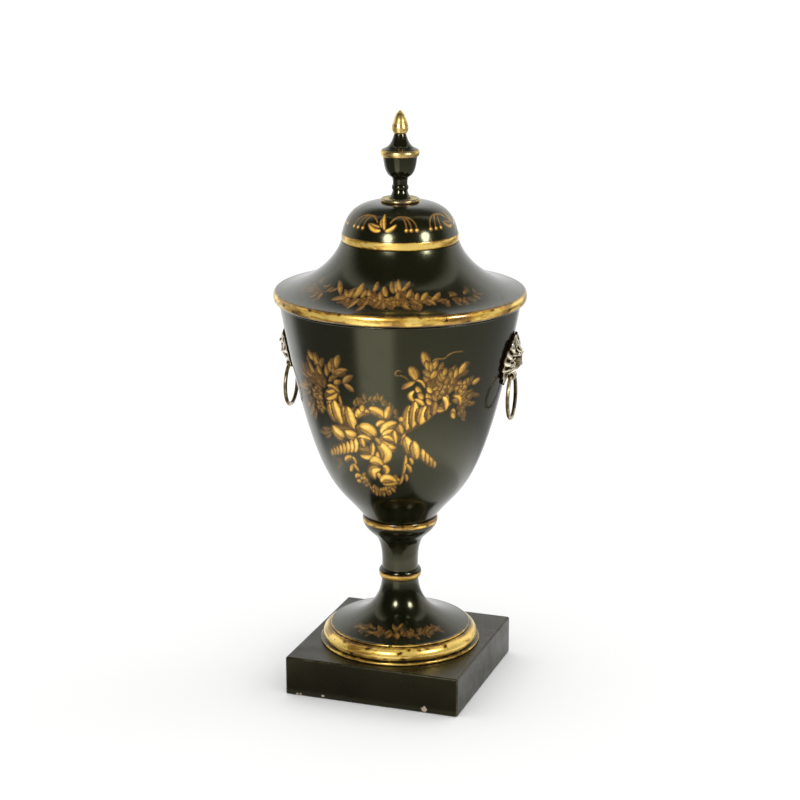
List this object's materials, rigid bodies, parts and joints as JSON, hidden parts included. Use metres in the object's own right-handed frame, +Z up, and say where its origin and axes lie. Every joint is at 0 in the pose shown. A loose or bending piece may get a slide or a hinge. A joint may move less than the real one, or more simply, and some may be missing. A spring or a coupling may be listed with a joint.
{
  "type": "covered urn",
  "caption": "Japanned metal urn on a stemmed foot and square plinth, with a lift-off domed lid, a pointed finial and loose rings held by lion masks at the sides.",
  "frame": {"origin": "middle of the plinth's underside, on the urn's axis", "axes": "+Z up along the urn's axis, -Y towards the painted front, +X towards the right-hand lion mask"},
  "size_m": [0.1414, 0.1414, 0.33],
  "materials": {
    "plinth_japan": "glossy dark brown-black lacquer with chipped lower edges",
    "japan": "glossy olive-black lacquer painted in gold, with worn gilt bands",
    "finial_japan": "glossy black lacquer with worn gilt rings and a gilt bud",
    "brass": "pale antique brass, dark in the hollows"
  },
  "bodies": {
    "urn": {"plinth": "plinth_japan", "foot": "japan", "body": "japan", "lid": "japan", "finial": "finial_japan", "lion_mask_right": "brass", "lion_mask_left": "brass"},
    "ring_right": {"ring_right": "brass"},
    "ring_left": {"ring_left": "brass"}
  },
  "joints": [
    {"name": "ring_right_swing", "type": "hinge", "parent": "urn", "child": "ring_right", "pos_m": [0.064, 0, 0.1844], "axis": [0, -1, 0], "range_deg": [-18, 135]},
    {"name": "ring_left_swing", "type": "hinge", "parent": "urn", "child": "ring_left", "pos_m": [-0.064, 0, 0.1844], "axis": [0, 1, 0], "range_deg": [-18, 135]}
  ]
}
